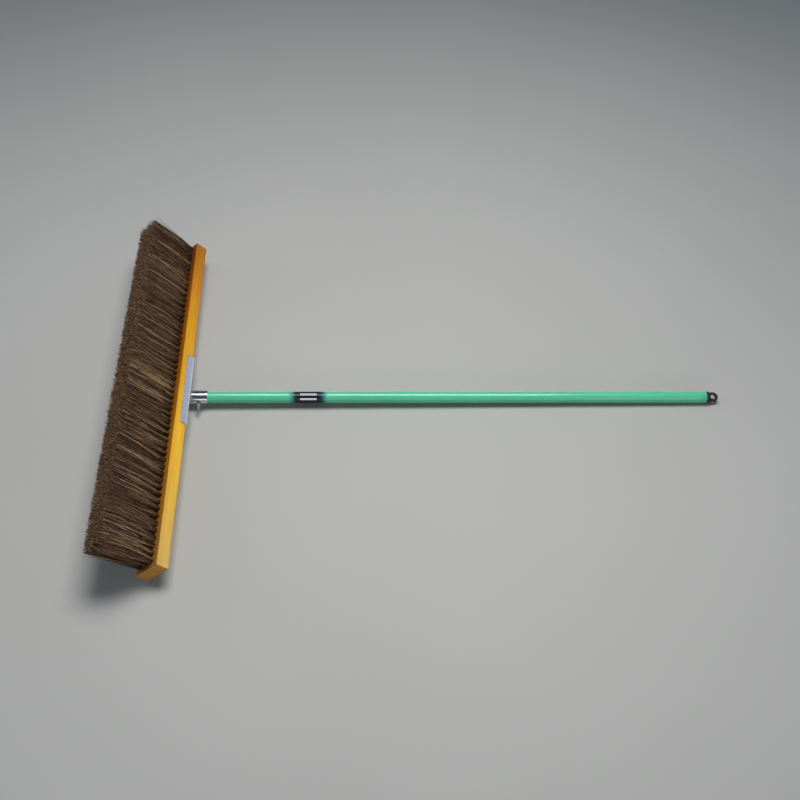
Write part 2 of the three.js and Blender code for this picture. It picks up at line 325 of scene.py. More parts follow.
class Surface:
    """A material under construction, whose nodes are made and linked by short calls. Its patterns lie in the
    frame of this matrix."""

    def __init__(self, name, place, **inputs):
        self.place = place
        self.material = bpy.data.materials.new(name)
        self.material.use_nodes = True
        self.tree = self.material.node_tree
        self.shader = self.tree.nodes["Principled BSDF"]
        self.shade(**inputs)

    def set(self, node, inputs):
        """Sets a node's inputs, by name or number, to values or to the outputs that feed them."""
        for key, value in inputs.items():
            socket = node.inputs[key.replace("_", " ") if isinstance(key, str) else key]
            if isinstance(value, bpy.types.NodeSocket):
                self.tree.links.new(value, socket)
            else:
                socket.default_value = value

    def node(self, kind, inputs=None, output=0, **settings):
        """Makes a node and returns one of its outputs."""
        node = self.tree.nodes.new(f"ShaderNode{kind}")
        for key, value in settings.items():
            setattr(node, key, value)
        self.set(node, inputs or {})
        return node.outputs[output]

    def own(self):
        """The point in the piece's own frame, in metres."""
        shared = self.node("TexCoord", output="Object")
        inputs = {"Vector": shared, "Location": self.place.to_translation()}
        return self.node("Mapping", {**inputs, "Rotation": self.place.to_euler()}, vector_type="TEXTURE")

    def coordinates(self, scale=(1, 1, 1), turn=(0, 0, 0)):
        """The point in the piece's own frame, scaled and turned."""
        return self.node("Mapping", {"Vector": self.own(), "Scale": scale, "Rotation": turn})

    def parts(self, value, kind="XYZ"):
        """The three numbers of a vector, or of a colour where the kind is Color."""
        node = self.tree.nodes.new(f"ShaderNodeSeparate{kind}")
        self.tree.links.new(value, node.inputs[0])
        return node.outputs[:3]

    def noise(self, scale, stretch=(1, 1, 1), detail=3.0, roughness=0.55):
        """Cloudy noise, mostly from 0.3 to 0.7, with about this many clouds in a metre."""
        vector = self.coordinates(stretch)
        inputs = {"Vector": vector, "Scale": scale, "Detail": detail, "Roughness": roughness}
        return self.node("TexNoise", inputs, output="Fac")

    def math(self, operation, a, b=0.0, clamp=False):
        """One sum, of two numbers or of the outputs that give them."""
        return self.node("Math", {0: a, 1: b}, operation=operation, use_clamp=clamp)

    def times(self, a, b, clamp=False):
        """The product of two numbers or outputs."""
        return self.math("MULTIPLY", a, b, clamp)

    def shade(self, **inputs):
        """Sets the shader's inputs, whose names have underscores for spaces."""
        self.set(self.shader, inputs)

    def band(self, value, low, high, to_low=0.0, to_high=1.0):
        """The value, stretched so that low to high becomes to_low to to_high, and held there."""
        inputs = {"Value": value, "From Min": low, "From Max": high, "To Min": to_low, "To Max": to_high}
        return self.node("MapRange", inputs)

    def ramp(self, value, *stops):
        """A colour for the value, from (position, colour) stops."""
        node = self.tree.nodes.new("ShaderNodeValToRGB")
        elements = node.color_ramp.elements
        elements[0].position, elements[0].color = stops[0][0], (*stops[0][1], 1)
        elements[1].position, elements[1].color = stops[-1][0], (*stops[-1][1], 1)
        for position, colour in stops[1:-1]:
            elements.new(position).color = (*colour, 1)
        self.tree.links.new(value, node.inputs["Fac"])
        return node.outputs["Color"]

    def mix(self, factor, a, b, blend="MIX"):
        """Two colours mixed. A plain colour is given as three numbers."""
        a, b = ((*c, 1) if isinstance(c, tuple) and len(c) == 3 else c for c in (a, b))
        node = self.tree.nodes.new("ShaderNodeMix")
        node.data_type, node.blend_type = "RGBA", blend
        self.set(node, {0: factor, 6: a, 7: b})
        return node.outputs[2]

    def bump(self, height, distance, strength=1.0):
        """Feeds a height, in units of distance, to the shader's normal. A second call adds to the first."""
        before = self.shader.inputs["Normal"]
        inputs = {"Height": height, "Distance": distance, "Strength": strength}
        if before.is_linked:
            inputs["Normal"] = before.links[0].from_socket
        self.tree.links.new(self.node("Bump", inputs), before)


def linear(red, green, blue):
    """A colour from its 0 to 255 screen values."""
    parts = (value / 255 for value in (red, green, blue))
    return tuple(p / 12.92 if p < 0.04045 else ((p + 0.055) / 1.055) ** 2.4 for p in parts)


def varnished_wood(low, high):
    """Straight-grained timber along Y under a thin varnish, redder towards +Y. The sawn ends and the drilled
    face of the block with these corners carry painted shade that makes them darker."""
    look = Surface("wood_look", HEAD, Specular_IOR_Level=0.22)
    look.shade(Coat_Weight=0.05, Coat_Roughness=0.35, Coat_IOR=1.5)
    fibres = look.noise(260, (1, 0.02, 1), detail=6, roughness=0.62)
    tilted = look.coordinates((1, 0.1, 1), (0, 0.35, 0.0))
    inputs = {"Vector": tilted, "Scale": 34.0, "Distortion": 3.2, "Detail": 3.0, "Detail Scale": 0.8}
    rings = look.node("TexWave", inputs, output="Fac", wave_type="BANDS", bands_direction="X")
    _, y, z = look.parts(look.own())
    patches = look.noise(5, (1, 0.35, 1), detail=2)
    place = look.math("ADD", y, look.times(look.math("SUBTRACT", patches, 0.5), 0.4))
    tone = look.ramp(
        look.band(place, -0.45, 0.45),
        (0.0, linear(222, 184, 100)),
        (0.22, linear(232, 187, 68)),
        (0.42, linear(240, 186, 42)),
        (0.62, linear(224, 163, 12)),
        (0.8, linear(200, 134, 4)),
        (1.0, linear(172, 98, 14)),
    )
    dark = look.mix(look.band(rings, 0.35, 1.0, 0.0, 0.36), tone, (0.78, 0.60, 0.42), "MULTIPLY")
    veined = look.mix(look.band(fibres, 0.38, 0.72, 0.0, 0.4), dark, (0.66, 0.50, 0.36), "MULTIPLY")
    pore = look.band(look.noise(900, (1, 0.03, 1), detail=2), 0.62, 0.72)
    stained = look.mix(look.times(pore, 0.4), veined, (0.45, 0.28, 0.16), "MULTIPLY")
    # Painted shade: the drilled face beside the tufts and the two sawn ends are darkened in the colour.
    drilled_face_shade = look.band(z, low.z + 0.2 * MM, low.z + 2.2 * MM, 1.0, 0.0)
    sawn_end_shade = look.band(look.math("ABSOLUTE", y), high.y - 1.6 * MM, high.y - 0.1 * MM)
    tone_with_end_shade = look.mix(sawn_end_shade, stained, (0.68, 0.50, 0.36), "MULTIPLY")
    look.shade(Base_Color=look.mix(drilled_face_shade, tone_with_end_shade, (0.48, 0.33, 0.22), "MULTIPLY"))
    look.shade(Roughness=look.band(fibres, 0.3, 0.7, 0.36, 0.5))
    look.bump(fibres, 0.12 * MM)
    look.bump(look.math("SUBTRACT", 1.0, pore), 0.08 * MM)
    return look.material


def plant_fibre():
    """Stiff brown fibres: each strand has its own tone, and its cut end is darker or straw-coloured. Painted
    shade darkens each strand near its root and over the last part towards its tip.
    """
    look = Surface("fibre_look", HEAD, Specular_IOR_Level=0.3)
    strand = look.node("Attribute", output="Color", attribute_name="strand")
    tone, along, tint = look.parts(strand, "Color")
    streaks = look.noise(700, (1, 1, 0.06), detail=2)
    mixed = look.math("ADD", look.times(streaks, 0.3), look.times(tone, 0.85))
    body = look.ramp(
        mixed,
        (0.15, linear(29, 18, 12)),
        (0.45, linear(71, 49, 36)),
        (0.72, linear(121, 91, 67)),
        (0.97, linear(216, 182, 140)),
    )
    red = look.mix(look.times(tint, 0.45), body, linear(120, 78, 52))
    # Painted shade: the strands are darkened towards their tips.
    tip = look.mix(look.band(along, 0.7, 0.95, 0.0, 0.4), red, linear(46, 30, 21))
    cut_end = look.ramp(
        tint, (0.3, linear(50, 34, 25)), (0.58, linear(108, 66, 40)), (0.88, linear(218, 168, 108))
    )
    # Painted shade: the strands are darkened near their roots, next to the block.
    root = look.mix(look.band(along, 0.05, 0.35, 0.5, 0.0), tip, (0.5, 0.44, 0.4), "MULTIPLY")
    look.shade(Base_Color=look.mix(look.band(along, 0.985, 1.0), root, cut_end))
    look.shade(Roughness=look.band(streaks, 0.3, 0.7, 0.45, 0.7))
    look.bump(streaks, 0.1 * MM)
    return look.material


def zinc_plate():
    """Galvanised sheet: soft spangles, a cool cast and fine rubbing marks along the block, with a painted
    highlight, pale and less metallic, where the saddle is bent."""
    look = Surface("zinc_look", HEAD)
    inputs = {"Vector": look.coordinates(), "Scale": 120.0, "Randomness": 1.0}
    cells = look.node("TexVoronoi", inputs, output="Color")
    shade = look.parts(cells, "Color")[0]
    rubbed = look.noise(420, (1, 0.05, 1), detail=4)
    clouds = look.noise(30, detail=3)
    spangle = look.ramp(shade, (0.0, linear(200, 193, 200)), (1.0, linear(218, 212, 218)))
    tone = look.mix(look.band(clouds, 0.35, 0.7, 0.0, 0.3), spangle, linear(182, 177, 190))
    low, high = extent("bracket_saddle", HEAD)
    x, _, z = look.parts(look.own())
    # Painted highlight: the bend is coloured pale and made less metallic so that it reads as a bright streak.
    bend_highlight_x = look.band(x, low.x + 2 * MM, low.x + 5 * MM, 1.0, 0.0)
    bend_highlight_z = look.band(z, high.z - 4.5 * MM, high.z - 2.5 * MM)
    bend = look.times(bend_highlight_x, bend_highlight_z)
    look.shade(Base_Color=look.mix(bend, tone, linear(242, 243, 246)))
    look.shade(Metallic=look.band(bend, 0.0, 1.0, 1.0, 0.3))
    grain = look.math("ADD", look.times(shade, 0.05), look.times(rubbed, 0.16))
    look.shade(Roughness=look.math("ADD", grain, 0.27))
    look.bump(rubbed, 0.02 * MM)
    look.bump(clouds, 0.15 * MM, 0.4)
    return look.material


def bright_plate():
    """Nickel-plated steel with hairline scratches and a few dull specks."""
    look = Surface("bright_look", AXIS, Metallic=1.0)
    hairlines = look.noise(600, (1, 1, 0.05), detail=4)
    specks = look.noise(380, detail=2)
    dull = look.band(specks, 0.68, 0.8)
    look.shade(Base_Color=look.mix(dull, linear(200, 203, 208), linear(140, 140, 138)))
    polish = look.band(hairlines, 0.35, 0.75, 0.12, 0.2)
    look.shade(Roughness=look.math("ADD", polish, look.times(dull, 0.3)))
    look.bump(hairlines, 0.001 * MM)
    return look.material


def green_paint():
    """Glossy sea-green enamel on drawn tube: faint orange peel, draw lines and a few rubbed spots."""
    look = Surface("paint_look", AXIS, Specular_IOR_Level=0.25)
    look.shade(Coat_Weight=0.5, Coat_Roughness=0.1, Coat_IOR=1.5)
    peel = look.noise(420, detail=2)
    lines = look.noise(500, (1, 1, 0.01), detail=3)
    drift = look.noise(7, (1, 1, 0.5), detail=2)
    paint = look.ramp(
        look.math("ADD", look.times(drift, 0.7), look.times(lines, 0.3)),
        (0.3, linear(78, 186, 144)),
        (0.55, linear(86, 196, 153)),
        (0.8, linear(96, 204, 161)),
    )
    scuffs = look.noise(160, (1, 1, 0.12), detail=5, roughness=0.7)
    rubbed = look.band(scuffs, 0.66, 0.74)
    worn = look.mix(look.times(rubbed, 0.4), paint, linear(128, 196, 168))
    look.shade(Base_Color=worn)
    gloss = look.band(lines, 0.3, 0.7, 0.24, 0.34)
    look.shade(Roughness=look.math("ADD", gloss, look.times(rubbed, 0.2)))
    look.bump(peel, 0.05 * MM, 0.6)
    look.bump(lines, 0.02 * MM)
    return look.material


def printed_film(start, length):
    """The wrap-round label: navy between faded sea-green ends, with two plain white bars in its middle."""
    look = Surface("film_look", AXIS, Roughness=0.4, Specular_IOR_Level=0.2)
    look.shade(Coat_Weight=0.2, Coat_Roughness=0.1)
    x, y, z = look.parts(look.own())
    along = look.band(z, start, start + length)
    from_middle = look.math("ABSOLUTE", look.math("SUBTRACT", along, 0.5))
    up = look.times(x, -1.0)
    turn = look.math("ARCTAN2", y, up)  # from the top of the handle, towards +Y

    def stripe(value, middle, half, blur):
        """1 where the value is within half of the middle, with blurred edges, and 0 elsewhere."""
        away = look.math("ABSOLUTE", look.math("SUBTRACT", value, middle))
        return look.band(away, half - blur, half + blur, 1.0, 0.0)

    inputs = {"Vector": look.coordinates(), "Scale": 700.0, "Randomness": 0.0}
    dots = look.node("TexVoronoi", inputs, output="Distance")
    faded = look.math("ADD", from_middle, look.times(dots, 0.1))
    field = look.ramp(
        faded,
        (0.31, linear(8, 13, 30)),
        (0.4, linear(20, 58, 70)),
        (0.47, linear(66, 146, 134)),
        (0.53, linear(90, 186, 152)),
    )
    panel = stripe(from_middle, 0.0, 0.215, 0.006)
    upper = stripe(turn, math.radians(-6), math.radians(13), 0.03)
    lower = stripe(turn, math.radians(-57), math.radians(10), 0.03)
    both = look.math("ADD", look.times(upper, 0.5), lower)
    bars = look.times(panel, both, clamp=True)
    ink = look.mix(bars, field, linear(226, 229, 232))
    look.shade(Base_Color=ink)
    look.bump(look.noise(260, detail=2), 0.03 * MM)
    return look.material


def black_plastic():
    """Moulded black polypropylene with a fine grain and paler rubbed patches."""
    look = Surface("plastic_look", AXIS, Specular_IOR_Level=0.45)
    grain = look.noise(2400, detail=2)
    rub = look.noise(240, detail=5, roughness=0.7)
    worn = look.band(rub, 0.56, 0.74)
    look.shade(Base_Color=look.mix(worn, linear(34, 34, 38), linear(72, 72, 76)))
    look.shade(Roughness=look.band(rub, 0.35, 0.7, 0.32, 0.5))
    look.bump(grain, 0.04 * MM)
    return look.material


def studio_floor():
    """Matt grey seamless paper."""
    look = Surface("floor_look", Matrix.Identity(4), Roughness=0.8, Specular_IOR_Level=0.2)
    clouds = look.noise(0.9, detail=3)
    tooth = look.noise(900, detail=2)
    tone = look.ramp(clouds, (0.3, linear(172, 172, 171)), (0.7, linear(177, 177, 176)))
    look.shade(Base_Color=tone)
    look.bump(tooth, 0.05 * MM)
    return look.material


# -------- head


def tuft_stations(row):
    """The places of a row's tufts along the block. Every other row is shifted by half a pitch."""
    count = Tufts.long_row - row % 2
    return (np.arange(count) - (count - 1) / 2) * Tufts.pitch


def row_place(row):
    """The middle of a row on the block's lower face, and how far it leans away from the user, in radians."""
    from_middle = row - (Tufts.rows - 1) / 2
    return from_middle * Tufts.row_pitch, from_middle * Tufts.lean


def wooden_block():
    """The block with eased edges and a hole for every tuft. Returns the height of its lower face."""
    low, high = extent("wooden_block", HEAD)
    front, back = Wood.front_edge, Wood.back_edge

    def section(inset, station):
        """The block's outline across its length, shrunk by an inset."""
        corners = (
            (high.x - inset - back, high.z - inset - back, back, 0),
            (low.x + inset + front, high.z - inset - front, front, 90),
            (low.x + inset + front, low.z + inset + front, front, 180),
            (high.x - inset - back, low.z + inset + back, back, 270),
        )
        ring = []
        for x, z, radius, start in corners:
            ring += arc((x, z), radius, start, start + 90, Wood.steps)
        return [Vector((x, station, z)) for x, z in ring]

    ease = Wood.end_edge
    rounding = [(ease - c, ease - s) for c, s in arc((0, 0), ease, 0, 90, Wood.steps)]
    rings = [section(inset, low.y + depth) for depth, inset in rounding]
    rings += [section(inset, high.y - depth) for depth, inset in rounding[::-1]]
    piece = add("block", from_arrays("wooden_block", *loft(rings)), HEAD, varnished_wood(low, high))

    drillings = []
    drill = [circle(Tufts.hole_radius, end, Tufts.hole_sides) for end in (-1 * MM, Tufts.hole_depth)]
    for row in range(Tufts.rows):
        across, lean = row_place(row)
        for station in tuft_stations(row):
            place = Matrix.Translation((across, station, low.z)) @ Matrix.Rotation(-lean, 4, "Y")
            drillings.append(moved(loft(drill), place))
    cut(piece, merged(*drillings), HEAD)
    sharpen(piece, 40)
    mount_piece(piece, "head", "varnished_wood", "wooden_block")
    return low.z


def strands_of(row, face, tip):
    """The strands of a row's tufts: their centre lines (strand, step, xyz), radii, and three random numbers.
    face is the height of the block's lower face and tip that of the trimmed ends."""
    random = np.random.default_rng(70 + row)
    tufts, strands = len(tuft_stations(row)), Tufts.strands
    stations = np.repeat(tuft_stations(row), strands)
    count = len(stations)
    order = np.tile(np.arange(strands), tufts)
    golden = math.pi * (3 - math.sqrt(5))  # the angle between neighbours that fills a disc evenly
    turn = order * golden + np.repeat(random.uniform(0, 2 * math.pi, tufts), strands)
    spread = np.sqrt((order + 0.5) / strands)
    unit = np.stack([np.cos(turn), np.sin(turn)], 1) * spread[:, None]
    root = unit * Tufts.root_radius + random.normal(0, Tufts.root_scatter, (count, 2))

    # At the tips the tufts fill the brush's face and run into one another. Each tuft's strands draw together
    # into a few locks, which wander and bow together, and some strands go astray.
    square = unit / np.maximum(np.abs(unit).max(1), 1e-6)[:, None] * spread[:, None]
    across, lean = row_place(row)
    fan = Tufts.row_pitch / 2 + Tufts.lean * (face - tip) / 2
    slices = np.floor(turn / (2 * math.pi) * Tufts.locks).astype(int) % Tufts.locks
    lock = np.repeat(np.arange(tufts), strands) * Tufts.locks + slices
    locks = tufts * Tufts.locks
    wander = (random.normal(0, 1.0, (locks, 2)) * Tufts.lock_wander)[lock]
    lock_bow = random.normal(0, Tufts.lock_bow, (locks, 2))[lock]
    lock_tone = random.random(locks)[lock]
    lock_flare = random.uniform(0.1, 1.9, locks)[lock]
    astray = random.normal(0, 1.0, (count, 2)) * Tufts.strand_wander
    astray *= np.where(random.random(count) < Tufts.wild, Tufts.wild_reach, 1.0)[:, None]
    astray[:, 0] = np.clip(astray[:, 0], -Tufts.stray_reach, Tufts.stray_reach)
    field = (fan * Tufts.fill_across, Tufts.pitch / 2 * Tufts.fill_along)
    lateral = square * field + wander + astray
    edge = Tufts.pitch * Tufts.long_row / 2
    nearness = np.exp(-(edge - np.abs(stations)) / (Tufts.flare_fade * Tufts.pitch))
    lateral[:, 1] += nearness * np.sign(stations) * Tufts.end_flare * lock_flare

    length = face - tip + Tufts.proud - Tufts.uneven * stations / (2 * edge)
    length = length + random.normal(0, Tufts.length_scatter, count)
    for sign, (portion, least, most) in ((-1, Tufts.short), (1, Tufts.long)):
        length += sign * (random.random(count) < portion) * random.uniform(least, most, count) * MM
    depth = Tufts.start_depth
    step = np.linspace(0, 1, Tufts.segments + 1)
    run = -depth + (length[:, None] + depth) * step  # below the block's face, along the row's lean
    share = np.clip(run / (face - tip), 0, None)
    bow = random.normal(0, Tufts.strand_bow, (count, 2)) + lock_bow
    wave = random.normal(0, Tufts.strand_wave, (count, len(step), 2)) * share[:, :, None]
    side = root[:, None, :] + (lateral - root)[:, None, :] * share[:, :, None] ** Tufts.opening
    side = side + bow[:, None, :] * np.sin(math.pi * np.clip(share, 0, 1))[:, :, None] + wave

    x = across + side[:, :, 0] + np.sin(lean) * run
    y = stations[:, None] + side[:, :, 1]
    z = face - np.cos(lean) * run
    coarse = random.random(count) < Tufts.coarse
    radius = Tufts.strand_radius * random.uniform(Tufts.thinnest, Tufts.thickest, count)
    radius *= np.where(coarse, Tufts.coarse_size, 1.0)
    chance = random.random((count, 2))
    tone = 0.72 * chance[:, 0] + 0.28 * lock_tone + 0.25 * coarse
    return np.stack([x, y, z], 2), radius, np.stack([chance[:, 0], tone, chance[:, 1]], 1), step


def tuft_row(row, face, tip, material):
    """One row of tufts as a mesh of thin prisms, with each strand's tone, place along it and tint stored."""
    lines, radius, chance, step = strands_of(row, face, tip)
    count, steps = lines.shape[:2]
    sides = Tufts.sides
    turn, tone, tint = chance.T
    twist = turn * 2 * math.pi
    angle = twist[:, None] + np.arange(sides) * 2 * math.pi / sides
    ring = np.stack([np.cos(angle), np.sin(angle), np.zeros_like(angle)], 2)
    taper = 1 - Tufts.taper * step
    thick = radius[:, None, None, None] * taper[None, :, None, None]
    points = lines[:, :, None, :] + ring[:, None, :, :] * thick

    here = np.arange(steps - 1)[:, None] * sides + np.arange(sides)
    onward = np.arange(steps - 1)[:, None] * sides + (np.arange(sides) + 1) % sides
    quads = np.stack([here, here + sides, onward + sides, onward], 2).reshape(-1, 4)
    cap = (steps - 1) * sides + np.arange(sides)[::-1]
    butt = np.arange(sides)
    first = np.arange(count)[:, None] * steps * sides
    corners = np.concatenate([quads.ravel(), cap, butt])
    sizes = np.concatenate([np.full(len(quads), 4), (sides, sides)])
    faces = (corners[None] + first).ravel()
    starts = np.concatenate([[0], np.cumsum(np.tile(sizes, count))[:-1]])

    name = f"tufts_{row + 1}"
    mesh = bpy.data.meshes.new(name)
    mesh.vertices.add(points.size // 3)
    mesh.vertices.foreach_set("co", points.astype(np.float32).ravel())
    mesh.loops.add(faces.size)
    mesh.loops.foreach_set("vertex_index", faces.astype(np.int32))
    mesh.polygons.add(len(starts))
    mesh.polygons.foreach_set("loop_start", starts.astype(np.int32))
    mesh.update(calc_edges=True)
    mesh.shade_smooth()
    colour = mesh.attributes.new("strand", "FLOAT_COLOR", "POINT")
    values = np.ones((count, steps, sides, 4), np.float32)
    values[..., 0] = tone[:, None, None]
    values[..., 1] = step[None, :, None]
    values[..., 2] = tint[:, None, None] ** 2
    colour.data.foreach_set("color", values.ravel())
    piece = add(name, mesh, HEAD, material)
    mount_piece(piece, "head", "plant_fibre", f"tuft_row_{row + 1}")


def bracket_saddle(material):
    """The sheet over the block's top face, folded down over the side that faces the user."""
    low, high = extent("bracket_saddle", HEAD)
    bend, steps, top_steps = 3.5 * MM, 8, 24
    corner, flange_corner = 8 * MM, 2.5 * MM
    outline = [(low.x, low.z)]  # the outer surface in section, from the flange's edge
    for i in range(1, steps + 1):
        outline.append((low.x, low.z + (high.z - bend - low.z) * i / steps))
    outline += arc((low.x + bend, high.z - bend), bend, 180, 90, steps)[1:]
    flat_start = low.x + bend
    for i in range(1, top_steps + 1):  # closer together towards the far edge, whose corners are round
        outline.append((flat_start + (high.x - flat_start) * (i / top_steps) ** 0.8, high.z))

    travelled = [0.0]
    for (x0, z0), (x1, z1) in zip(outline, outline[1:]):
        travelled.append(travelled[-1] + math.hypot(x1 - x0, z1 - z0))

    def half_width(distance):
        """Half of the sheet's length along the block at a distance along its section, corners rounded."""
        inset = 0.0
        for radius, away in ((flange_corner, distance), (corner, travelled[-1] - distance)):
            if away < radius:
                inset = radius - math.sqrt(max(radius**2 - (radius - away) ** 2, 0.0))
        return high.y - inset

    across = 40
    rings = []
    for (x, z), distance in zip(outline, travelled):
        half = half_width(distance)
        rings.append([Vector((x, half * (2 * i / across - 1), z)) for i in range(across + 1)])
    points, faces = loft(rings, ring_closed=False, caps=False)
    mesh = from_arrays("bracket_saddle", points, faces)
    piece = add("saddle", mesh, HEAD, material)
    shell = piece.modifiers.new("shell", "SOLIDIFY")
    shell.thickness = 2 * MM
    outward = mesh.polygons[0].normal.dot(HEAD.col[0].to_3d()) < 0
    shell.offset = -1.0 if outward else 1.0
    shell.use_even_offset = True
    edge = piece.modifiers.new("edge", "BEVEL")
    edge.width = 0.35 * MM
    edge.segments = 2
    edge.limit_method = "ANGLE"
    edge.angle_limit = math.radians(50)
    apply_modifiers(piece)
    sharpen(piece, 50)
    mount_piece(piece, "head", "zinc_plate", "bracket_saddle")


def bracket_screw(index, material):
    """A pan-head wood screw with a cross recess."""
    node = f"bracket_screw_{index}"
    low, high = extent(node, HEAD)
    place = Vector(((low.x + high.x) / 2, (low.y + high.y) / 2, 0))
    head_radius = (high.x - low.x) / 2
    head_height, slot_depth, sides = 2.6 * MM, 1.5 * MM, 40
    top, seat = high.z, high.z - head_height - GAP
    shank = head_radius * 0.45
    profile = [(0.1 * MM, low.z), (shank * 0.6, low.z + 3 * MM), (shank, low.z + 5 * MM), (shank, seat)]
    profile += [(head_radius - 0.3 * MM, seat), (head_radius, seat + 0.3 * MM)]
    brim = seat + 0.5 * MM  # where the dome of its head starts
    dome = arc((0, 0), 1.0, 0, 84, 8)
    profile += [(head_radius * c, brim + (top - brim) * h) for c, h in dome]
    upright = HEAD @ Matrix.Translation(place)
    mesh = from_arrays(node, *revolved(profile, sides))
    piece = add(f"screw_{index}", mesh, upright, material)
    slot = []
    for length, width, height in ((2.3 * MM, 0.42 * MM, 1 * MM), (1.0 * MM, 0.32 * MM, -slot_depth)):
        slot.append([Vector((x * length, y * width, top + height)) for x, y in SQUARE])
    for turn in (0.4 * index, 0.4 * index + math.pi / 2):  # every screw stopped at an angle of its own
        cut(piece, loft(slot), upright @ Matrix.Rotation(turn, 4, "Z"))
    sharpen(piece, 35)
    mount_piece(piece, "head", "zinc_plate", node)


# -------- socket, bolt and handle


def plate_distance():
    """The saddle's outer face as a plane in the handle's frame: its normal and distance from the origin."""
    normal = AXIS.to_3x3().inverted() @ TOP
    return normal, extent("bracket_saddle", HEAD)[1].z


def handle_socket(material):
    """The mitred tube welded to the saddle. Returns where along it the wing bolt is."""
    low, high = extent("handle_socket", AXIS)
    radius = (high.y - low.y) / 2
    bore, lip, bolt_hole = 13 * MM, 0.5 * MM, 3.4 * MM
    sink = 0.2 * MM  # how far it reaches into the saddle's face
    bead_size, ripples, bead_sides = 1.9 * MM, 46, 10
    end = high.z
    normal, rise = plate_distance()

    def mitred(ring_radius, drop=0.0):
        """A ring of the pipe where it meets the plate."""
        points = circle(ring_radius, 0.0)
        for point in points:
            point.z = (rise - drop - normal.x * point.x) / normal.z
        return points

    rings = [mitred(radius, sink)]
    for share in (0.15, 0.35, 0.55, 0.75, 0.9):
        base = mitred(radius)
        rings.append([Vector((p.x, p.y, p.z + (end - lip - p.z) * share)) for p in base])
    rings.append(circle(radius, end - lip))
    for step_radius, height in arc((radius - lip, end - lip), lip, 0, 90, 4)[1:]:
        rings.append(circle(step_radius, height))
    for step_radius, height in arc((bore + lip, end - lip), lip, 90, 180, 4):
        rings.append(circle(step_radius, height))
    rings.append(mitred(bore, sink))
    piece = add("socket", from_arrays("handle_socket", *loft(rings, joined=True)), AXIS, material)
    hole_at = (AXIS.inverted() @ Vector(joints["wing_bolt_turn"]["pos_m"])).z
    hole = loft([circle(bolt_hole, level, 32) for level in (0.0, radius)])
    sideways = Matrix.Translation((0, -radius * 0.7, hole_at)) @ Matrix.Rotation(math.pi / 2, 4, "X")
    cut(piece, hole, AXIS @ sideways)

    # The weld is a bead around the mitre, with a ripple for each pass of the torch.
    bead = []
    for i, point in enumerate(mitred(radius)):
        turn = 2 * math.pi * i / ROUND
        swell = 1.0 + 0.12 * math.sin(ripples * turn) + 0.1 * math.sin(3 * turn + 1.0)
        size = bead_size * (swell + 0.06 * math.sin(7 * turn))
        out = Vector((math.cos(turn), math.sin(turn), 0))
        along_plate = (out - normal * out.dot(normal)).normalized()
        way, rise = along_plate * size, normal * size * 0.8
        bead.append(around(bead_sides, lambda a: point + way * math.cos(a) + rise * math.sin(a)))
    join(piece, loft(bead, joined=True), AXIS)
    sharpen(piece, 35)
    mount_piece(piece, "head", "bright_plate", "handle_socket")
    return hole_at


def socket_nut(material):
    """A hexagon nut with chamfered corners, tacked to the socket's side."""
    low, high = extent("socket_nut", AXIS)
    centre = (low + high) / 2
    corner = max(high.x - low.x, high.z - low.z) / 2
    height = high.y - low.y
    flat = corner * math.cos(math.pi / 6)
    bore, chamfer, bore_chamfer, sides = 3.2 * MM, 0.8 * MM, 0.5 * MM, 72
    tack_profile = ((0.2, 0.8), (0.8, 0.6), (1.2, 0.1), (1.3, -0.4), (1.1, -1.2))  # radius, height in mm

    def hexagon(shrink, level):
        """A ring of the nut's outline, its six corners cut back by shrink."""

        def point(a):
            """The outline at this angle."""
            reach = min(flat / math.cos(a % (math.pi / 3) - math.pi / 6), corner - shrink)
            return Vector((reach * math.cos(a), reach * math.sin(a), level))

        return around(sides, point)

    top, face, worn, cut_back = height / 2, flat * 0.96, 0.1 * MM, (corner - flat) * 0.9
    rings = [circle(bore, -top, sides), circle(face, -top, sides)]
    rings.append(hexagon(cut_back, -top + 0.05 * MM))
    rings += [hexagon(worn, -top + chamfer), hexagon(worn, top - chamfer)]
    rings.append(hexagon(cut_back, top - 0.05 * MM))
    rings += [circle(face, top, sides), circle(bore + bore_chamfer, top, sides)]
    rings.append(circle(bore, top - bore_chamfer, sides))
    nut = loft(rings, joined=True)
    upright = Matrix.Translation(centre) @ Matrix.Rotation(math.pi / 2, 4, "X")
    parts = [moved(nut, upright)]
    tack = revolved([(radius * MM, level * MM) for radius, level in tack_profile], 20)
    shape = Matrix.Rotation(math.pi / 2, 4, "X") @ Matrix.Diagonal((1.6, 1, 1, 1))  # longer than wide
    for side in (-1, 1):  # the tacks that hold it to the socket
        seat = Matrix.Translation((centre.x, high.y - 0.2 * MM, centre.z + side * (corner * 0.92)))
        parts.append(moved(tack, seat @ shape))
    piece = add("nut", from_arrays("socket_nut", *merged(*parts)), AXIS, material)
    sharpen(piece, 28)
    mount_piece(piece, "head", "bright_plate", "socket_nut")


def thread(radius, pitch, start, end, depth, steps=28):
    """The skin of a threaded rod along Z: one strip whose rings climb with the helix."""
    profile = [(0.0, 0.0), (0.38, 1.0), (0.62, 1.0), (1.0, 0.0)]  # share of the pitch, share of the depth
    rings = []
    turns = (end - start) / pitch
    for i in range(int(turns * steps) + 1):
        turn = 2 * math.pi * i / steps
        height = start + pitch * i / steps
        ring = []
        for share, lift in profile:
            r = radius - depth + depth * lift
            ring.append(Vector((r * math.cos(turn), r * math.sin(turn), height + share * pitch)))
        rings.append(ring)
    return loft(rings, ring_closed=False, caps=False)


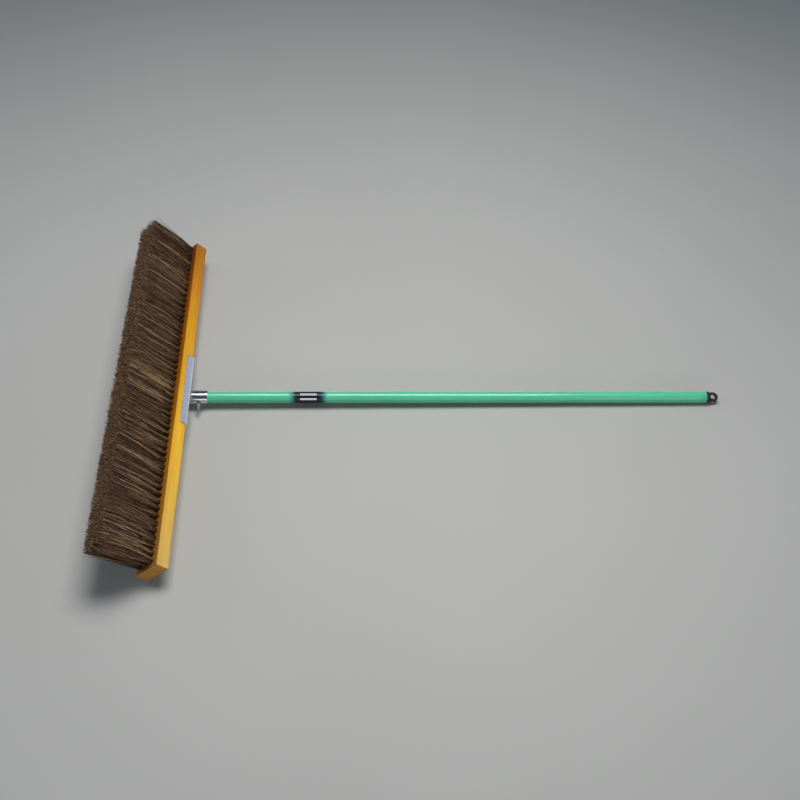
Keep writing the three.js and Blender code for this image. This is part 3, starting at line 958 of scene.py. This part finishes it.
def wing_bolt(station, material):
    """A cast wing bolt: two ears on a hub, and a threaded shank that presses on the handle."""
    low, high = extent("wing_bolt", AXIS)
    tip, outer = -high.y, -low.y
    turned_out = Matrix.Translation((0, 0, station)) @ Matrix.Rotation(math.pi / 2, 4, "X")
    reach = (high.x - low.x) / 2
    hub_start = outer - 11.4 * MM
    profile = ((2.0, -0.6), (4.3, 0), (4.4, 1), (3.7, 6), (2.4, 8), (0.4, 8.4))  # radius, height in mm
    parts = [revolved([(radius * MM, hub_start + level * MM) for radius, level in profile], 40)]
    for side in (-1, 1):
        wide_way = Vector((0.78 * side, 0, -0.62))
        rings = []
        for share in (0.0, 0.12, 0.3, 0.5, 0.7, 0.86, 0.96, 1.0):
            # The ear leans out from the hub. It is widest halfway and rounded off over its last fifth.
            centre_x = side * (2.4 * MM + (reach - 5.0 * MM) * share)
            centre_z = hub_start + 1.8 * MM + (outer - hub_start - 3.9 * MM) * share
            wide = (2.7 + 2.8 * math.sin(math.pi * min(share * 0.8 + 0.1, 1.0))) * MM
            if share > 0.8:
                wide *= math.sqrt(max(1.0 - ((share - 0.8) / 0.21) ** 2, 0.02))
            thick = (1.7 - 0.55 * share) * MM
            centre = Vector((centre_x, 0, centre_z))
            across, through = wide_way * wide, Vector((0, thick, 0))
            rings.append(around(20, lambda a: centre + across * math.cos(a) + through * math.sin(a)))
        parts.append(loft(rings))
    piece = add("wing_bolt_body", from_arrays("wing_bolt", *merged(*parts)), AXIS @ turned_out, material)
    soften(piece, 0.22 * MM, 6)
    core, crest, pitch, depth = 2.45 * MM, 2.95 * MM, 1 * MM, 0.55 * MM
    shank = revolved([(1.6 * MM, tip), (core, tip + 0.8 * MM), (core, hub_start)], 40)
    helix = thread(crest, pitch, tip + 0.6 * MM, hub_start - 1.2 * MM, depth)
    join(piece, merged(shank, helix), AXIS @ turned_out)
    sharpen(piece, 45)
    mount_piece(piece, "wing_bolt", "bright_plate", "wing_bolt")


def handle_tube(material):
    """The painted steel tube, its ends square and deburred. Returns its radius and where it ends."""
    low, high = extent("handle_tube", AXIS)
    radius = (high.y - low.y) / 2
    bore = radius - TUBE_WALL
    ease = 0.25 * MM
    stations = np.linspace(low.z + ease, high.z - ease, 60)
    rings = [circle(radius - ease, low.z)]
    rings += [circle(radius, station) for station in stations]
    rings += [circle(radius - ease, high.z), circle(bore, high.z), circle(bore, low.z)]
    piece = add("tube", from_arrays("handle_tube", *loft(rings, joined=True)), AXIS, material)
    sharpen(piece, 50)
    mount_piece(piece, "handle", "green_paint", "handle_tube")
    return radius, high.z


def handle_label(tube_radius):
    """The film wrapped round the tube, lapped over itself underneath."""
    low, high = extent("handle_label", AXIS)
    material = printed_film(low.z, high.z - low.z)
    film, cut_film, glue = 0.09 * MM, 0.02 * MM, 0.03 * MM
    lap, steps = math.radians(14), 120
    rings = []
    for share in (0.0, 0.004, 0.25, 0.5, 0.75, 0.996, 1.0):
        thickness = film if 0 < share < 1 else cut_film
        outside, inside = [], []
        for i in range(steps + 1):
            turn = (2 * math.pi + lap) * i / steps - lap / 2
            lifted = film * 1.3 * min(1.0, max(0.0, (turn - 2 * math.pi + lap) / lap * 1.6))
            base = tube_radius + glue + lifted
            way = Vector((math.cos(turn), math.sin(turn), 0))
            height = Vector((0, 0, low.z + (high.z - low.z) * share))
            outside.append(way * (base + thickness) + height)
            inside.append(way * base + height)
        rings.append(outside + inside[::-1])
    piece = add("label", from_arrays("handle_label", *loft(rings)), AXIS, material)
    sharpen(piece, 50)
    mount_piece(piece, "handle", "printed_film", "handle_label")


def hanging_cap(tube_radius, tube_end, material):
    """The moulded cap: a shoulder on the tube's end that flattens into an eyelet, and a plug inside."""
    low, high = extent("hanging_cap", AXIS)
    face = Vector(mounts["eyelet_face"]["axis"])
    local_face = (AXIS.to_3x3().inverted() @ face).normalized()
    roll = math.atan2(local_face.y, local_face.x)
    length, gap = high.z - tube_end, GAP * 0.3
    tab_half, thin_half, eyelet = 11.5 * MM, 3.5 * MM, 5.5 * MM
    shoulder, flattening = 3 * MM, 8.5 * MM  # the cap stays round, and then turns into the tab, over these
    centre = high.z - tab_half
    rings = []
    for share in np.linspace(0.0, 1.0, 40):
        station = tube_end + gap + (length - gap) * share
        blend = min(max((station - tube_end - shoulder) / flattening, 0.0), 1.0)
        blend = blend * blend * (3 - 2 * blend)
        thin = tube_radius + (thin_half - tube_radius) * blend
        wide = tube_radius + (tab_half - tube_radius) * blend
        if station > centre:
            wide = math.sqrt(max(tab_half**2 - (station - centre) ** 2, (0.8 * MM) ** 2))
        power = 2 / (2.0 + 2.2 * blend)  # 1 makes a round outline and less makes a squarer one

        def point(a):
            """The cap's outline at this angle."""
            x, y = (math.copysign(abs(way) ** power, way) for way in (math.cos(a), math.sin(a)))
            return Vector((x * thin, y * wide, station))

        rings.append(around(64, point))
    rolled = AXIS @ Matrix.Rotation(roll, 4, "Z")
    piece = add("cap", from_arrays("hanging_cap", *loft(rings)), rolled, material)
    hole = [circle(eyelet, level) for level in (-9 * MM, 9 * MM)]
    through = Matrix.Translation((0, 0, centre)) @ Matrix.Rotation(math.pi / 2, 4, "Y")
    cut(piece, loft(hole), rolled @ through)
    soften(piece, 0.3 * MM, 8)

    bore = tube_radius - TUBE_WALL
    plug = [(bore - 1.2 * MM, low.z), (bore - 0.3 * MM, low.z + 1.5 * MM)]
    for rib in range(4):  # ribs that grip the tube
        base = low.z + (3 + 5 * rib) * MM
        inner, outer = bore - 0.9 * MM, bore - 0.2 * MM
        plug += [(inner, base), (outer, base + 1 * MM), (inner, base + 3.5 * MM)]
    plug.append((bore - 0.5 * MM, tube_end + 1 * MM))
    join(piece, revolved(plug, 48), AXIS)
    piece.data.shade_smooth()
    mount_piece(piece, "handle", "black_plastic", "hanging_cap")


# -------- the studio


def aimed(place, aim):
    """The rotation of a light at place that faces aim."""
    return (Vector(aim) - Vector(place)).to_track_quat("-Z", "Y").to_matrix().to_4x4()


def soft_light(name, place, aim, sides, spread, power, colour):
    """A rectangle of light at place that faces aim."""
    lamp = bpy.data.lights.new(name, "AREA")
    lamp.shape = "RECTANGLE"
    lamp.size, lamp.size_y = sides
    lamp.spread = math.radians(spread)
    lamp.energy = power
    lamp.color = colour
    light = bpy.data.objects.new(name, lamp)
    bpy.context.scene.collection.objects.link(light)
    light.matrix_world = Matrix.Translation(place) @ aimed(place, aim)


def make_camera():
    """The scene's camera."""
    angles = Camera.azimuth, Camera.elevation, Camera.roll
    azimuth, elevation, roll = (math.radians(angle) for angle in angles)
    turned = Matrix.Rotation(azimuth, 4, "Z") @ Matrix.Rotation(math.pi / 2 - elevation, 4, "X")
    lens = bpy.data.cameras.new("camera")
    lens.lens = Camera.lens
    lens.sensor_width = Camera.sensor
    lens.clip_end = Camera.sees_to
    camera = bpy.data.objects.new("camera", lens)
    bpy.context.scene.collection.objects.link(camera)
    camera.matrix_world = Matrix.Translation(Camera.place) @ turned @ Matrix.Rotation(roll, 4, "Z")
    bpy.context.scene.camera = camera


def make_studio():
    """The floor, the soft lights and a faint blue sky."""
    scene = bpy.context.scene
    scene.view_settings.view_transform = "Standard"
    world = bpy.data.worlds.new("studio")
    world.use_nodes = True
    background = world.node_tree.nodes["Background"]
    background.inputs["Color"].default_value, background.inputs["Strength"].default_value = SKY
    scene.world = world
    half = FLOOR_SIZE / 2
    corners = [Vector((x * half, y * half, cad_box[0].z)) for x, y in SQUARE]
    floor = add("floor", from_arrays("floor", corners, [(0, 1, 2, 3)]), Matrix.Identity(4), studio_floor())
    for name, settings in LIGHTS.items():
        soft_light(name, *settings)


# -------- the broom

make_camera()
make_studio()

lower_face = wooden_block()
trimmed_ends = extent("tuft_row_3", HEAD)[0].z
fibre = plant_fibre()
for row in range(Tufts.rows):
    tuft_row(row, lower_face, trimmed_ends, fibre)

zinc = zinc_plate()
bracket_saddle(zinc)
for index in range(1, 5):
    bracket_screw(index, zinc)

plate = bright_plate()
bolt_station = handle_socket(plate)
socket_nut(plate)
wing_bolt(bolt_station, plate)

tube_radius, tube_end = handle_tube(green_paint())
handle_label(tube_radius)
hanging_cap(tube_radius, tube_end, black_plastic())

bpy.context.view_layer.update()
